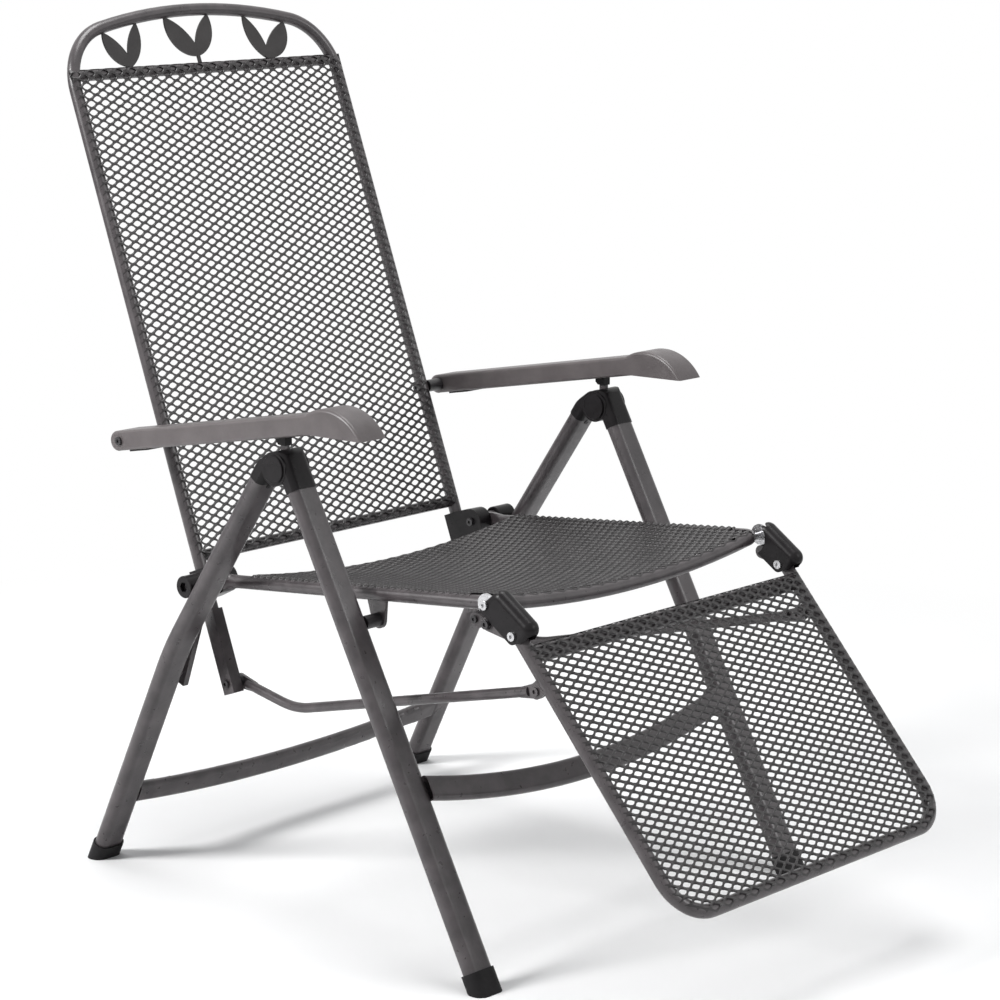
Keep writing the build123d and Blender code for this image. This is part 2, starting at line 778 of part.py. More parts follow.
def leaf_pair(place, right_tip, left_tip, lift, core):
    """Two leaves on one stem, from the top rail to the arch."""
    base = top_rail_high + rail_radius + lift
    blades = []
    for wide in (-right_tip, left_tip):
        reach = arch_high(place + wide) - base - tube_radius * leaf_tip_share
        blades.append(leaf_blade(wide, reach))
    foot_low = -lift - rail_radius
    stem = box_outline((0, 0), 0, -leaf_stem_half, leaf_stem_half, foot_low, leaf_fork_high / 2.0)
    flat = blades[0] + blades[1] + stem
    placed = back_plane.offset(-leaf_thick / 2.0) * (Pos(place, base) * flat)
    shape = extrude(placed, amount=leaf_thick) - core
    return sorted(shape.solids(), key=lambda s: s.volume)[-1]


def leaf_pairs(core):
    right = leaf_pair(leaf_right_place, leaf_right_right_tip, leaf_right_left_tip, 0, core)
    middle = leaf_pair(leaf_middle_place, leaf_middle_right_tip, leaf_middle_left_tip, leaf_middle_lift, core)
    left = leaf_pair(leaf_left_place, leaf_left_right_tip, leaf_left_left_tip, 0, core)
    return Compound(children=[right, middle, left])


def backrest():
    path = back_plane * back_hoop()
    hoop = tube_along(path, tube_radius, tube_wall)
    core = tube_along(path, tube_radius)
    rails = [rail(top_rail_high), rail(bottom_rail_high)]
    tall = top_rail_high - bottom_rail_high
    sheet = net(2.0 * back_half, tall, back_mesh_columns, back_mesh_rows)
    placed = back_plane.offset(mesh_lift) * (Pos(0, bottom_rail_high + tall / 2.0) * sheet)
    clear = pin(arm_bolt, head_radius + side_gap, back_half - back_corner_radius, back_half)
    mesh = extrude(placed, amount=mesh_thick) - core - rails[0] - rails[1]
    mesh = mesh - clear - mirror(clear, about=Plane.YZ)
    bore = pin(arm_bolt, bolt_radius + run_gap, back_half - cut_over, back_half + cut_over)
    hoop = hoop - bore - mirror(bore, about=Plane.YZ)
    parts = {"back_frame": hoop, "back_mesh": sorted(mesh.solids(), key=lambda s: s.volume)[-1]}
    parts["back_top_rail"] = middle_of(rail(top_rail_high, tube_wall) - core)
    parts["back_bottom_rail"] = middle_of(rail(bottom_rail_high, tube_wall) - core)
    parts["back_leaves"] = leaf_pairs(core + rails[0])
    parts.update(both("back_extension", extension()))
    parts.update(both("hinge_block", hinge_block(core)))
    return parts


def arm_bolts():
    """The bolt through the back tube and the armrest's rear end, with its spacer."""
    inner = back_half - tube_radius - side_gap
    shape = pin(arm_bolt, bolt_radius, inner, arm_outer + side_gap)
    shape += pin(arm_bolt, spacer_radius, back_half + tube_radius + side_gap, arm_inner - side_gap)
    shape += bolt_head(arm_bolt, inner, inner - head_thick)
    return shape + bolt_head(arm_bolt, arm_outer + side_gap, arm_outer + low_head_thick)


def arm_point(along, up):
    return go(arm_bolt, (arm_ahead, along), (arm_up, up))


def arm_profile(inset=0.0):
    """The side view of an armrest, or of its hollow when inset."""
    half = arm_half_thick - inset
    rear = arm_half_thick - arm_overhang
    slope = inset / math.sqrt(2.0)
    shoulder = arm_point(arm_shoulder_reach - slope, arm_shoulder_high - slope)
    nose = arm_point(arm_reach - inset, -arm_nose_drop)
    start = arm_point(rear, half)
    end = arm_point(rear, -half)
    edges = [Line(start, arm_point(arm_straight, half))]
    edges.append(ThreePointArc(arm_point(arm_straight, half), shoulder, nose))
    edges.append(Line(nose, arm_point(arm_under_straight, -half)))
    edges.append(Line(arm_point(arm_under_straight, -half), end))
    edges.append(ThreePointArc(end, arm_point(rear - half, 0.0), start))
    return make_face(edges)


def arm_mouth():
    """The side view of the way into the hollow of an armrest, from below."""
    rear = arm_half_thick - arm_overhang
    reach = arm_reach - arm_wall
    places = [(rear, 0), (rear, -cut_over), (reach, -cut_over), (reach, -arm_nose_drop)]
    places.append((arm_under_straight, 0))
    return outline([arm_point(along, up) for along, up in places])


def armrest():
    """A pressed channel with a drooping nose, open below."""
    solid = slab(arm_profile(), arm_inner, arm_outer)
    edges = solid.faces().filter_by(Axis.X).edges()
    top = [e for e in edges if arm_height(e.center()) > 0]
    solid = fillet(top, arm_edge_radius)
    hollow = slab(arm_profile(arm_wall) + arm_mouth(), arm_inner + arm_wall, arm_outer - arm_wall)
    bore = pin(arm_bolt, bolt_radius + run_gap, arm_inner - cut_over, arm_outer + cut_over)
    return solid - hollow - bore


def arm_height(point):
    y, z = point.Y - arm_bolt[0], point.Z - arm_bolt[1]
    return y * way(arm_up)[0] + z * way(arm_up)[1]


def arm_rack():
    """The notched plastic rack inside an armrest, with a lip that shows below its rear end."""
    start = leg_middle - rack_across / 2.0
    end = leg_middle + rack_across / 2.0
    top = arm_half_thick - arm_wall
    low = top - rack_deep
    shape = slab(box_outline(arm_bolt, arm_ahead, rack_start, rack_long, -top, -low), start, end)
    for n in range(rack_notches):
        shape -= pin(arm_point(rack_first + n * rack_pitch, low), rack_notch_radius, start, end)
    lip_low = arm_half_thick + rack_lip_deep
    lip = box_outline(arm_bolt, arm_ahead, rack_start, rack_start + rack_lip_long, -top, lip_low)
    return shape + slab(lip, arm_middle - rack_lip_across / 2.0, arm_middle + rack_lip_across / 2.0)


def rest_pin():
    """The hinge bolt of the leg rest, through the seat corner, with a washer between tube and cover."""
    outer = knuckle_outer + side_gap
    shape = pin(rest_hinge, bolt_radius, knuckle_inner - side_gap, outer)
    washer_start = seat_half + tube_radius + side_gap
    shape += pin(rest_hinge, washer_radius, washer_start, knuckle_outer - knuckle_wall - side_gap)
    return shape + bolt_head(rest_hinge, outer, knuckle_outer + low_head_thick)


def knuckle_profile(inset):
    """The side view of the plastic cover between seat and leg rest."""
    ridge = knuckle_ridge - inset
    end = knuckle_long - inset
    places = [(-knuckle_back + inset, -knuckle_under + knuckle_wall), (knuckle_crest_start + inset, ridge)]
    places += [(end, ridge), (end, knuckle_under), (end - knuckle_toe, -knuckle_under), (0, -knuckle_under)]
    face = outline([go(rest_hinge, (knuckle_down, along), (knuckle_up, up)) for along, up in places])
    high = sorted(face.vertices(), key=knuckle_profile_height)[-2:]
    return fillet(high, knuckle_round - inset)


def knuckle_mouth():
    """The arched opening in the cover's end, over the leg-rest tube."""
    middle = (knuckle_inner + knuckle_outer) / 2.0
    start = go(rest_hinge, (knuckle_down, knuckle_bolt_apart), (knuckle_up, knuckle_mouth_high))
    end = Plane(origin=(middle, *start), z_dir=(0, *way(knuckle_down)))
    return extrude(end * Circle(knuckle_across / 2.0 - knuckle_wall), amount=knuckle_long)


def rest_knuckle(rest_core):
    """The hollow cover over the seat corner and the end of the leg-rest tube."""
    side = knuckle_profile(0.0)
    low = sorted(side.vertices(), key=knuckle_profile_height)[:2]
    shape = slab(fillet(low, knuckle_toe_radius), knuckle_inner, knuckle_outer)
    ends = shape.faces().filter_by(Axis.X).edges()
    ridge = [e for e in ends if knuckle_height(e.center()) > knuckle_under]
    shape = fillet(ridge, knuckle_edge_radius) - knuckle_mouth()
    hollow = make_hull(knuckle_profile(knuckle_roof).edges())
    inside = slab(hollow, knuckle_inner + knuckle_wall, knuckle_outer - knuckle_wall)
    inside += pin(rest_hinge, knuckle_clear, knuckle_inner - cut_over, knuckle_outer - knuckle_wall)
    under = box_outline(rest_hinge, knuckle_down, -cut_over, knuckle_long - knuckle_wall, 0, cut_over)
    under += box_outline(rest_hinge, knuckle_down, -cut_over, knuckle_back, knuckle_wall - knuckle_ridge, 0)
    inside += slab(under, knuckle_inner + knuckle_wall, knuckle_outer - knuckle_wall)
    mouth = box_outline(rest_hinge, rest_down, knuckle_bolt_apart, knuckle_long + cut_over,
                        -rest_offset - tube_radius - side_gap, cut_over)
    inside += slab(mouth, knuckle_inner + knuckle_wall, knuckle_outer - knuckle_wall)
    shape = shape - inside - pin(rest_hinge, bolt_radius + run_gap, knuckle_inner, knuckle_outer)
    shape -= pin(rest_bolt, bolt_radius, knuckle_inner, knuckle_outer)
    return sorted((shape - rest_core).solids(), key=lambda s: s.volume)[-1]


def knuckle_profile_height(corner):
    """The same height for a corner of the flat side view, whose axes are y and z."""
    return knuckle_height(Vector(0, corner.X, corner.Y))


def knuckle_height(point):
    y, z = point.Y - rest_hinge[0], point.Z - rest_hinge[1]
    return y * way(knuckle_up)[0] + z * way(knuckle_up)[1]


def rest_path():
    points = [(-rest_half, rest_tube_start), (-rest_half, rest_long), (rest_half, rest_long)]
    points += [(rest_half, rest_tube_start)]
    return rest_plane * FilletPolyline(*[(x, -s) for x, s in points], radius=rest_corner_radius)


def rest_bolts():
    """The bolt through knuckle, lever and leg-rest tube, and the screw of the stop."""
    shape = pin(rest_bolt, bolt_radius, knuckle_inner, knuckle_outer)
    shape += bolt_head(rest_bolt, knuckle_outer, knuckle_outer + low_head_thick)
    shape += bolt_head(rest_bolt, knuckle_inner, knuckle_inner - low_head_thick)
    return shape


def rest_stops():
    """The black hexagon bush on the end of a lever, which meets the seat tube, with a socket in its end."""
    outer = knuckle_outer - knuckle_wall - run_gap
    bush = slab(Pos(*rest_stop) * RegularPolygon(stop_radius, 6), outer, knuckle_outer)
    return bush + bolt_head(rest_stop, knuckle_outer, knuckle_outer + low_head_thick)


def lever(core):
    """The flat lever behind the knuckle."""
    outer = knuckle_outer - knuckle_wall - run_gap
    plate = slab(link_outline(rest_stop, rest_bolt, lever_radius, lever_radius), outer - lever_thick, outer)
    plate = plate - core - pin(rest_bolt, bolt_radius, 0, outer + cut_over)
    return sorted(plate.solids(), key=lambda s: s.volume)[-1]


def link_tab(core):
    reach = go(link_front, (rest_under, -link_pin_behind - rest_offset))
    plate = link_outline(link_front, reach, eye_radius, eye_radius)
    shape = slab(plate, tab_inner, tab_outer) - core
    bolt = Vector(tab_middle, *link_front)
    shape = sorted(shape.solids(), key=lambda s: (s.center() - bolt).length)[0]
    return shape + bolt_head(link_front, tab_outer, tab_outer + low_head_thick)


def leg_rest():
    path = rest_path()
    hoop = tube_along(path, tube_radius, tube_wall)
    core = tube_along(path, tube_radius)
    tall = rest_long - rest_top_start - rest_bar_tall / 2.0
    middle = rest_long - tall / 2.0
    bar = SlotOverall(rest_bar_tall, rest_bar_thick)
    bore = SlotOverall(rest_bar_tall - 2.0 * tube_wall, rest_bar_thick - 2.0 * tube_wall)
    bar_at = rest_plane.from_local_coords(Vector(-rest_half, -rest_top_start - rest_bar_tall / 2.0, 0))
    bar_plane = Plane(origin=bar_at, x_dir=rest_plane.y_dir, z_dir=(1, 0, 0))
    top_core = extrude(bar_plane * bar, amount=2.0 * rest_half)
    top_bar = middle_of(top_core - extrude(bar_plane * bore, amount=2.0 * rest_half) - core)
    sheet = net(2.0 * rest_half, tall, rest_mesh_columns, rest_mesh_rows)
    placed = rest_plane.offset(mesh_lift) * (Pos(0, -middle) * sheet)
    mesh = extrude(placed, amount=mesh_thick) - core - top_core
    bolts = rest_bolts()
    parts = {"rest_frame": hoop - bolts - mirror(bolts, about=Plane.YZ), "rest_top_bar": top_bar}
    parts["rest_mesh"] = sorted(mesh.solids(), key=lambda s: s.volume)[-1]
    parts.update(both("rest_knuckle", rest_knuckle(core)))
    parts.update(pair("rest_levers", lever(core)))
    parts.update(pair("rest_stops", rest_stops()))
    parts.update(pair("rest_bolts", bolts))
    parts.update(pair("rest_link_tabs", link_tab(core)))
    return parts


def link_path():
    """The bent run of a link rod between its two flattened eyes."""
    rear = ((rear_eye_inner + rear_eye_outer) / 2.0, *link_rear)
    front = ((front_eye_inner + front_eye_outer) / 2.0, *link_front)
    mid = [r + (f - r) * link_bend_share for r, f in zip(rear, front)]
    mid[2] -= link_bend_drop
    to_mid = (Vector(*mid) - Vector(*rear)).normalized()
    to_front = (Vector(*front) - Vector(*mid)).normalized()
    start = Vector(*rear) + to_mid * eye_long
    end = Vector(*front) - to_front * eye_long
    return start, Vector(*mid), end


def link_eye(centre, towards, x_start, x_end):
    """A flattened eye, with a waist that runs on into the round rod."""
    step = Vector(0, towards.Y - centre[0], towards.Z - centre[1]).normalized() * waist_long
    waist = (centre[0] + step.Y, centre[1] + step.Z)
    return slab(link_outline(centre, waist, eye_radius, link_radius), x_start, x_end)


def link_rod():
    start, mid, end = link_path()
    rod = tube_along(FilletPolyline(start, mid, end, radius=link_bend_radius), link_radius)
    rear = link_eye(link_rear, start, rear_eye_inner, rear_eye_outer)
    front = link_eye(link_front, end, front_eye_inner, front_eye_outer)
    shape = rod + rear + front
    shape += bolt_head(link_front, front_eye_inner, front_eye_inner - head_thick)
    return shape - pin(link_rear, bolt_radius + run_gap, 0, rear_eye_outer + cut_over)


def link_pin():
    """The bolt through the back extension and the rod's rear eye, with its black spacer."""
    inner = rear_eye_inner - side_gap
    outer = back_half + extension_wide / 2.0
    shape = pin(link_rear, bolt_radius, inner, outer + side_gap)
    spacer_inner = extension_inner - link_spacer_thick
    shape += pin(link_rear, link_spacer_radius, spacer_inner, extension_inner - side_gap)
    shape += bolt_head(link_rear, outer + side_gap, outer + head_thick)
    return shape + bolt_head(link_rear, inner, rear_eye_inner - head_thick)


def chair():
    """Every piece of the chair by name, still placed from below the elbow."""
    parts = front_frame()
    parts.update(rear_frame())
    parts.update(seat())
    parts.update(both("strut", strut()))
    parts.update(both("axle_bolt", axle_bolt()))
    parts.update(both("axle_bush", axle_bush()))
    parts.update(backrest())
    parts.update(both("arm_bolt", arm_bolts()))
    parts.update(both("armrest", armrest()))
    parts.update(both("arm_rack", arm_rack()))
    parts.update(leg_rest())
    parts.update(both("rest_pin", rest_pin()))
    parts.update(both("link_pin", link_pin()))
    parts.update(both("link_rod", link_rod()))
    return parts


def middle_shift(parts):
    """How far to move the chair along Y so that its origin is below its middle."""
    boxes = [shape.bounding_box() for shape in parts.values()]
    return -(min(box.min.Y for box in boxes) + max(box.max.Y for box in boxes)) / 2.0


def main():
    os.makedirs("parts", exist_ok=True)
    parts = chair()
    shift = middle_shift(parts)
    for name, shape in parts.items():
        export_step(Pos(0, shift, 0) * shape, os.path.join("parts", name + ".step"))
    print("pieces", len(parts), "moved along Y by", round(shift, 3))


if __name__ == "__main__":
    main()
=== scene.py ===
"""Looks of the reclining garden armchair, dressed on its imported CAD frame."""
import math

import bpy
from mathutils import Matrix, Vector

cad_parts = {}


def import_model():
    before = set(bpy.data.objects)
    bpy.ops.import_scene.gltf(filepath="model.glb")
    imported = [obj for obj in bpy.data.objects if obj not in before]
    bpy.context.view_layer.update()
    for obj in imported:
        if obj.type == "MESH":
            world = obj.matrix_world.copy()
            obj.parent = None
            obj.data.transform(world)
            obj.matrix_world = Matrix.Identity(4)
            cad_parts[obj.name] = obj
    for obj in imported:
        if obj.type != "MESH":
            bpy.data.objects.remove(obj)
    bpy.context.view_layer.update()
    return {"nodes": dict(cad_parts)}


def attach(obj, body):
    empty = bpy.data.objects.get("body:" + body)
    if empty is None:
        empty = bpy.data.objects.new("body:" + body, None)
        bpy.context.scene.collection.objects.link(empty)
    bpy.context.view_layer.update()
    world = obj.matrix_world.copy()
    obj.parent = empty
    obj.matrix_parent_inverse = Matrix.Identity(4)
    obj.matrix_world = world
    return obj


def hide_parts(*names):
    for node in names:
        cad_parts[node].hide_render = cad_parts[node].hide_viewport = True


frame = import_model()
nodes = frame["nodes"]

# Places and sizes in metres, as in the CAD
BACK_ORIGIN = (0.0, 0.265625, 0.394482)
BACK_UP = (0.0, 0.363251, 0.931691)
BACK_OUT = (0.0, -0.931691, 0.363251)
SEAT_ORIGIN = (0.0, 0.223847, 0.379)
SEAT_AHEAD = (0.0, -0.993572, 0.113203)
SEAT_OUT = (0.0, 0.113203, 0.993572)
REST_ORIGIN = (0.0, -0.244606, 0.439814)
REST_DOWN = (0.0, -0.670427, -0.741976)
REST_OUT = (0.0, -0.741976, 0.670427)
TUBE_RADIUS = 0.008
STEEL_THICK = 0.0015
SHEET_LIFT = TUBE_RADIUS + STEEL_THICK / 2


# Materials

class Shade:
    """A node material that is put together from its Principled shader outwards."""

    def __init__(self, name):
        self.material = bpy.data.materials.new(name)
        self.material.use_nodes = True
        self.tree = self.material.node_tree
        self.shader = self.tree.nodes["Principled BSDF"]
        self.place = self.add("ShaderNodeTexCoord").outputs["Object"]

    def add(self, kind, **inputs):
        node = self.tree.nodes.new(kind)
        for key, value in inputs.items():
            self.feed(node.inputs[key.replace("_", " ").capitalize()], value)
        return node

    def feed(self, socket, value):
        if isinstance(value, bpy.types.NodeSocket):
            self.tree.links.new(value, socket)
        else:
            socket.default_value = value

    def noise(self, scale, detail=3.0, roughness=0.55, stretch=None):
        node = self.add("ShaderNodeTexNoise", scale=scale, detail=detail, roughness=roughness)
        place = self.place
        if stretch:
            mapping = self.add("ShaderNodeMapping")
            self.feed(mapping.inputs["Vector"], place)
            mapping.inputs["Scale"].default_value = stretch
            place = mapping.outputs["Vector"]
        self.feed(node.inputs["Vector"], place)
        return node.outputs["Fac"]

    def ramp(self, value, *stops):
        node = self.tree.nodes.new("ShaderNodeValToRGB")
        self.feed(node.inputs["Fac"], value)
        elements = node.color_ramp.elements
        while len(elements) < len(stops):
            elements.new(0.5)
        for element, (position, colour) in zip(elements, stops):
            element.position = position
            element.color = (*colour, 1.0)
        return node.outputs["Color"]

    def spread(self, value, low, high, start=0.3, end=0.7):
        node = self.tree.nodes.new("ShaderNodeMapRange")
        for key, number in (("From Min", start), ("From Max", end), ("To Min", low), ("To Max", high)):
            node.inputs[key].default_value = number
        self.feed(node.inputs["Value"], value)
        return node.outputs["Result"]

    def bump(self, height, strength, distance, under=None):
        node = self.tree.nodes.new("ShaderNodeBump")
        node.inputs["Strength"].default_value = strength
        node.inputs["Distance"].default_value = distance
        self.feed(node.inputs["Height"], height)
        if under:
            self.feed(node.inputs["Normal"], under)
        return node.outputs["Normal"]

    def finish(self, colour, rough, normal, metallic=0.0, gloss=0.5):
        self.feed(self.shader.inputs["Base Color"], colour)
        self.feed(self.shader.inputs["Roughness"], rough)
        self.feed(self.shader.inputs["Normal"], normal)
        self.shader.inputs["Metallic"].default_value = metallic
        self.shader.inputs["Specular IOR Level"].default_value = gloss
        return self.material


def coated(name, dark, light, rough_low, rough_high, gloss, grain):
    """A satin powder coat: soft mottling, an orange-peel surface and small duller patches."""
    s = Shade(name)
    colour = s.ramp(s.noise(38.0, 4.0), (0.32, dark), (0.68, light))
    rough = s.spread(s.noise(95.0, 5.0), rough_low, rough_high)
    peel = s.bump(s.noise(grain, 2.0), 0.22, 0.0004)
    return s.finish(colour, rough, s.bump(s.noise(grain * 4.0, 2.0), 0.12, 0.0002, peel), 0.0, gloss)


def moulded(name, dark, light, rough_low, rough_high, grain, strength):
    """Moulded plastic or rubber with a fine spark-eroded grain."""
    s = Shade(name)
    colour = s.ramp(s.noise(60.0, 3.0), (0.3, dark), (0.7, light))
    rough = s.spread(s.noise(180.0, 4.0), rough_low, rough_high)
    return s.finish(colour, rough, s.bump(s.noise(grain, 2.0), strength, 0.0003), 0.0, 0.17)


def zinc():
    """Bright zinc with fine turning marks and a few duller spots."""
    s = Shade("zinc_bolt")
    colour = s.ramp(s.noise(260.0, 4.0), (0.3, (0.36, 0.36, 0.37)), (0.7, (0.56, 0.56, 0.57)))
    rough = s.spread(s.noise(700.0, 3.0), 0.24, 0.42)
    lines = s.noise(900.0, 2.0, stretch=(1.0, 0.15, 1.0))
    return s.finish(colour, rough, s.bump(lines, 0.15, 0.0002), 1.0)


tube_coat = coated("anthracite_tube", (0.03, 0.025, 0.027), (0.062, 0.053, 0.056), 0.26, 0.38, 0.6, 420.0)
leaf_coat = coated("anthracite_leaf", (0.018, 0.016, 0.016), (0.03, 0.027, 0.027), 0.36, 0.48, 0.35, 420.0)
# Painted shade: the nets carry the tubes' anthracite coat made darker, so the strands look as dark as
# shaded ones.
net_coat_painted_shade = coated("anthracite_net_painted_shade", (0.011, 0.0095, 0.01), (0.024, 0.021, 0.022), 0.28, 0.4, 0.45, 700.0)
arm_coat = coated("gunmetal_armrest", (0.07, 0.06, 0.061), (0.093, 0.081, 0.082), 0.32, 0.42, 0.5, 800.0)
plastic = moulded("black_plastic", (0.006, 0.0052, 0.0057), (0.011, 0.0095, 0.0105), 0.26, 0.38, 900.0, 0.1)
rubber = moulded("foot_rubber", (0.008, 0.0075, 0.008), (0.015, 0.014, 0.015), 0.55, 0.7, 500.0, 0.3)
dark_bolt = coated("blackened_bolt", (0.012, 0.011, 0.012), (0.026, 0.024, 0.026), 0.28, 0.42, 0.5, 900.0)
bolt_zinc = zinc()

BY_SLOT = {"coated_steel": tube_coat, "coated_mesh": net_coat_painted_shade, "armrest_coat": arm_coat,
           "black_plastic": plastic, "foot_rubber": rubber, "dark_bolt": dark_bolt, "bolt_steel": bolt_zinc}
BY_NODE = {"back_leaves": leaf_coat}


# CAD nodes: finish and soft edges

def soften_group():
    """Joins split corners and shades smoothly across shallow edges."""
    group = bpy.data.node_groups.new("soften", "GeometryNodeTree")
    group.interface.new_socket("Geometry", in_out="INPUT", socket_type="NodeSocketGeometry")
    group.interface.new_socket("Geometry", in_out="OUTPUT", socket_type="NodeSocketGeometry")
    link = group.links.new
    start = group.nodes.new("NodeGroupInput")
    merge = group.nodes.new("GeometryNodeMergeByDistance")
    merge.inputs["Distance"].default_value = 0.00001
    smooth = group.nodes.new("GeometryNodeSetShadeSmooth")
    angle = group.nodes.new("GeometryNodeInputMeshEdgeAngle")
    steep = group.nodes.new("FunctionNodeCompare")
    steep.inputs[1].default_value = math.radians(28.0)
    sharp = group.nodes.new("GeometryNodeSetShadeSmooth")
    sharp.domain = "EDGE"
    sharp.inputs["Shade Smooth"].default_value = False
    end = group.nodes.new("NodeGroupOutput")
    link(start.outputs[0], merge.inputs["Geometry"])
    link(merge.outputs["Geometry"], smooth.inputs["Geometry"])
    link(smooth.outputs["Geometry"], sharp.inputs["Geometry"])
    link(angle.outputs["Unsigned Angle"], steep.inputs[0])
    link(steep.outputs["Result"], sharp.inputs["Selection"])
    link(sharp.outputs["Geometry"], end.inputs[0])
    return group


def dress_nodes():
    soften = soften_group()
    for name, node in nodes.items():
        slot = node.data.materials[0].name.split(".")[0] if node.data.materials else ""
        if slot not in BY_SLOT:
            print("NO SLOT", name, slot)
        finish = BY_NODE.get(name) or BY_SLOT.get(slot, tube_coat)
        if node.data.materials:
            node.data.materials[0] = finish
        else:
            node.data.materials.append(finish)
        node.modifiers.new("soften", "NODES").node_group = soften


# Expanded metal

OPENING = [(-1.0, 0.0), (-0.55, -0.66), (0.0, -1.0), (0.55, -0.66),
           (1.0, 0.0), (0.55, 0.66), (0.0, 1.0), (-0.55, 0.66)]
RHOMBUS = [(-0.5, 0.0), (-0.25, -0.25), (0.0, -0.5), (0.25, -0.25),
           (0.5, 0.0), (0.25, 0.25), (0.0, 0.5), (-0.25, 0.25)]
OPEN_WIDE = 0.60
OPEN_TALL = 0.66
RING_POINTS = len(RHOMBUS)
STRAND_TILT = 0.0009
STRAND_CROWN = 0.0004
CELL_SLACK = 0.3
CREASE_DEGREES = 50.0


def expanded_metal(name, origin, across, along, out, area, cells, edge, height):
    """A sheet with staggered openings, each ringed by half the strands that it shares with the next.

    area is (u start, v start, u end, v end); edge moves a point onto the cut sheet, and a cell that it
    moves by more than CELL_SLACK of a pitch is left out; height gives the sheet's place off its plane.
    """
    u0, v0, u1, v1 = area
    columns, rows = cells
    pitch_u = (u1 - u0) / columns
    pitch_v = (v1 - v0) / rows
    origin, across, along, out = Vector(origin), Vector(across), Vector(along), Vector(out)
    vertices, faces, known = [], [], {}

    def vertex(u, v, lift, key):
        if key in known:
            return known[key]
        u, v = edge(u, v)
        vertices.append(origin + across * u + along * v + out * (height(u, v) + lift))
        known[key] = len(vertices) - 1
        return known[key]

    spots = [(i + 0.5, j + 0.5) for i in range(-1, columns + 1) for j in range(-1, rows + 1)]
    spots += [(float(i), float(j)) for i in range(columns + 1) for j in range(rows + 1)]
    for i, j in spots:
        u, v = u0 + i * pitch_u, v0 + j * pitch_v
        inside_u, inside_v = edge(u, v)
        if abs(inside_u - u) > CELL_SLACK * pitch_u or abs(inside_v - v) > CELL_SLACK * pitch_v:
            continue
        rings = []
        for face in (1, -1):
            outer, inner = [], []
            for n in range(RING_POINTS):
                a, b = RHOMBUS[n]
                key = (round(4 * (i + a)), round(4 * (j + b)), face)
                outer.append(vertex(u + a * pitch_u, v + b * pitch_v,
                                    face * (STEEL_THICK / 2 + STRAND_CROWN), key))
                a, b = OPENING[n]
                lift = face * (STEEL_THICK / 2 - STRAND_CROWN) + STRAND_TILT * b
                inner.append(vertex(u + a * pitch_u / 2 * OPEN_WIDE, v + b * pitch_v / 2 * OPEN_TALL,
                                    lift, (i, j, n, face)))
            rings.append((outer, inner))
        (front_out, front_in), (back_out, back_in) = rings
        for n in range(RING_POINTS):
            m = (n + 1) % RING_POINTS
            faces.append((front_out[n], front_out[m], front_in[m], front_in[n]))
            faces.append((back_out[m], back_out[n], back_in[n], back_in[m]))
            faces.append((front_in[n], front_in[m], back_in[m], back_in[n]))
    mesh = bpy.data.meshes.new(name)
    mesh.from_pydata(vertices, [], faces)
    mesh.validate()
    mesh.materials.append(net_coat_painted_shade)
    mesh.shade_smooth()
    mesh.set_sharp_from_angle(angle=math.radians(CREASE_DEGREES))
    piece = bpy.data.objects.new(name, mesh)
    bpy.context.scene.collection.objects.link(piece)
    return piece


def clamp(value, low, high):
    return min(max(value, low), high)


def ease(t):
    t = clamp(t, 0.0, 1.0)
    return t * t * (3 - 2 * t)


TUCK = 0.0062
TUCK_SINK = 0.0022


def over_tube(beyond):
    """How far a sheet bends down over a tube, past its middle line, and its edge sinks into the coat."""
    beyond = clamp(beyond, 0.0, TUCK)
    return SHEET_LIFT - math.sqrt(SHEET_LIFT ** 2 - beyond ** 2) + TUCK_SINK * ease(beyond / TUCK)


BACK_HALF = 0.223
BACK_LOW, BACK_HIGH = 0.005, 0.6187


def back_edge(u, v):
    return clamp(u, -BACK_HALF - TUCK, BACK_HALF + TUCK), clamp(v, BACK_LOW - TUCK, BACK_HIGH + TUCK)


def back_height(u, v):
    beyond = max(abs(u) - BACK_HALF, BACK_LOW - v, v - BACK_HIGH)
    return SHEET_LIFT - over_tube(beyond)


back_net = expanded_metal("back_net", BACK_ORIGIN, (1, 0, 0), BACK_UP, BACK_OUT,
                          (-BACK_HALF, BACK_LOW, BACK_HALF, BACK_HIGH), (20, 55), back_edge, back_height)
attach(back_net, "backrest")
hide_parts("back_mesh")

SEAT_HALF = 0.232
SEAT_REAR, SEAT_FRONT = 0.064, 0.462
SEAT_DISH = 0.021
DISH_RUN = 0.05
BAR_DIP = 0.0182
BAR_SLOPE = 0.13793
BAR_ARC_RADIUS, BAR_ARC_HALF = 1.4602, 0.1995
CORNER_U, CORNER_V = 0.2215, 0.430


def seat_edge(u, v):
    u, v = clamp(u, -SEAT_HALF - TUCK, SEAT_HALF + TUCK), clamp(v, SEAT_REAR - TUCK, SEAT_FRONT + TUCK)
    if abs(u) > CORNER_U and v > CORNER_V:
        if abs(u) - CORNER_U < v - CORNER_V:
            u = math.copysign(CORNER_U, u)
        else:
            v = CORNER_V
    return u, v


def bar_height(u):
    """The seat's front and rear bars dip in one arc and rise straight to the corners."""
    if abs(u) > BAR_ARC_HALF:
        return -BAR_SLOPE * (SEAT_HALF - abs(u))
    return -BAR_DIP + BAR_ARC_RADIUS - math.sqrt(BAR_ARC_RADIUS ** 2 - u ** 2)


def seat_height(u, v):
    """Over the tubes at the edges, and dished between them."""
    share = clamp(abs(u) / SEAT_HALF, 0.0, 1.0)
    dish = -SEAT_DISH * (1 - share ** 2)
    bar = bar_height(clamp(u, -SEAT_HALF, SEAT_HALF))
    inward = ease(min(v - SEAT_REAR, SEAT_FRONT - v) / DISH_RUN)
    beyond = max(abs(u) - SEAT_HALF, SEAT_REAR - v, v - SEAT_FRONT)
    return SHEET_LIFT + bar * (1 - inward) + dish * inward - over_tube(beyond)


